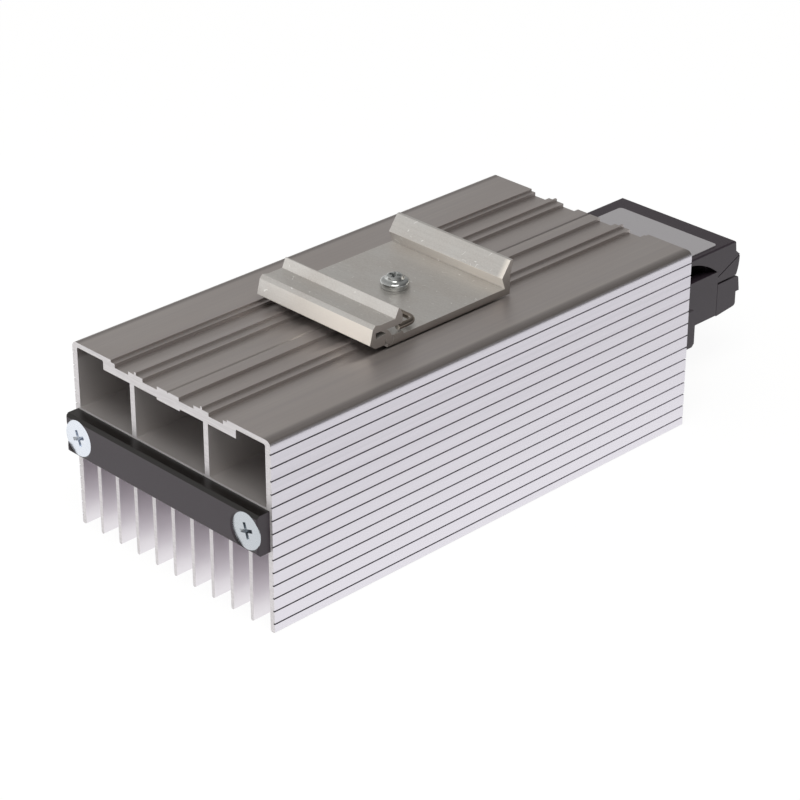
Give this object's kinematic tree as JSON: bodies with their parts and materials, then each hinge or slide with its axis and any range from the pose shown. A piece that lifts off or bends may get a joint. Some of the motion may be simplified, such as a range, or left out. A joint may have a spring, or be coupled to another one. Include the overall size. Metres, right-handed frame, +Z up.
{
  "type": "enclosure heater",
  "caption": "Finned aluminium enclosure heater with air ducts, black end bar, terminal box with bare label, and a sprung clip for a 35 mm top-hat rail",
  "frame": {"origin": "centre of the footprint, on the surface that the fin tips stand on", "axes": "+X across the fins, +Y along the heat sink towards the terminal box, +Z up"},
  "size_m": [0.078, 0.2076, 0.0655],
  "materials": {
    "sink_metal": "mill finish with fine streaks",
    "clip_metal": "mill finish, sawn ends",
    "bar_plastic": "satin moulding",
    "box_plastic": "fine textured moulding",
    "label_foil": "matt silver",
    "zinc_steel": "bluish zinc plate",
    "spring_steel": "bright drawn wire",
    "ceramic": "fired ceramic with metal faces",
    "contact_metal": "bright strip",
    "sleeve_film": "amber film",
    "block_plastic": "matt moulding",
    "cage_brass": "plain",
    "lead_brown": "silicone",
    "lead_blue": "silicone",
    "lead_green": "silicone"
  },
  "bodies": {
    "heater": {"cable_clamp": "box_plastic", "cable_clamp_screws": "zinc_steel", "clip_plate": "clip_metal", "clip_screw": "zinc_steel", "clip_washer": "zinc_steel", "contact_strip_lower": "contact_metal", "contact_strip_upper": "contact_metal", "earth_lug": "contact_metal", "earth_screw": "zinc_steel", "front_bar_screws": "zinc_steel", "front_end_bar": "bar_plastic", "heat_sink": "sink_metal", "insulation_sleeve": "sleeve_film", "label_plate": "label_foil", "lead_earth": "lead_green", "lead_live": "lead_brown", "lead_neutral": "lead_blue", "pressure_plate": "clip_metal", "ptc_elements": "ceramic", "rear_flange_screws": "zinc_steel", "terminal_base": "box_plastic", "terminal_block": "block_plastic", "terminal_cages": "cage_brass", "terminal_cover": "box_plastic", "terminal_screws": "zinc_steel"},
    "front_jaw": {"clip_jaw": "clip_metal", "clip_spring": "spring_steel"}
  },
  "joints": [
    {"name": "jaw_hinge", "type": "hinge", "parent": "heater", "child": "front_jaw", "pos_m": [0, -0.04215, 0.0574], "axis": [1, 0, 0], "range_deg": [0, 8], "stiffness_Nm_per_rad": 0.5}
  ]
}
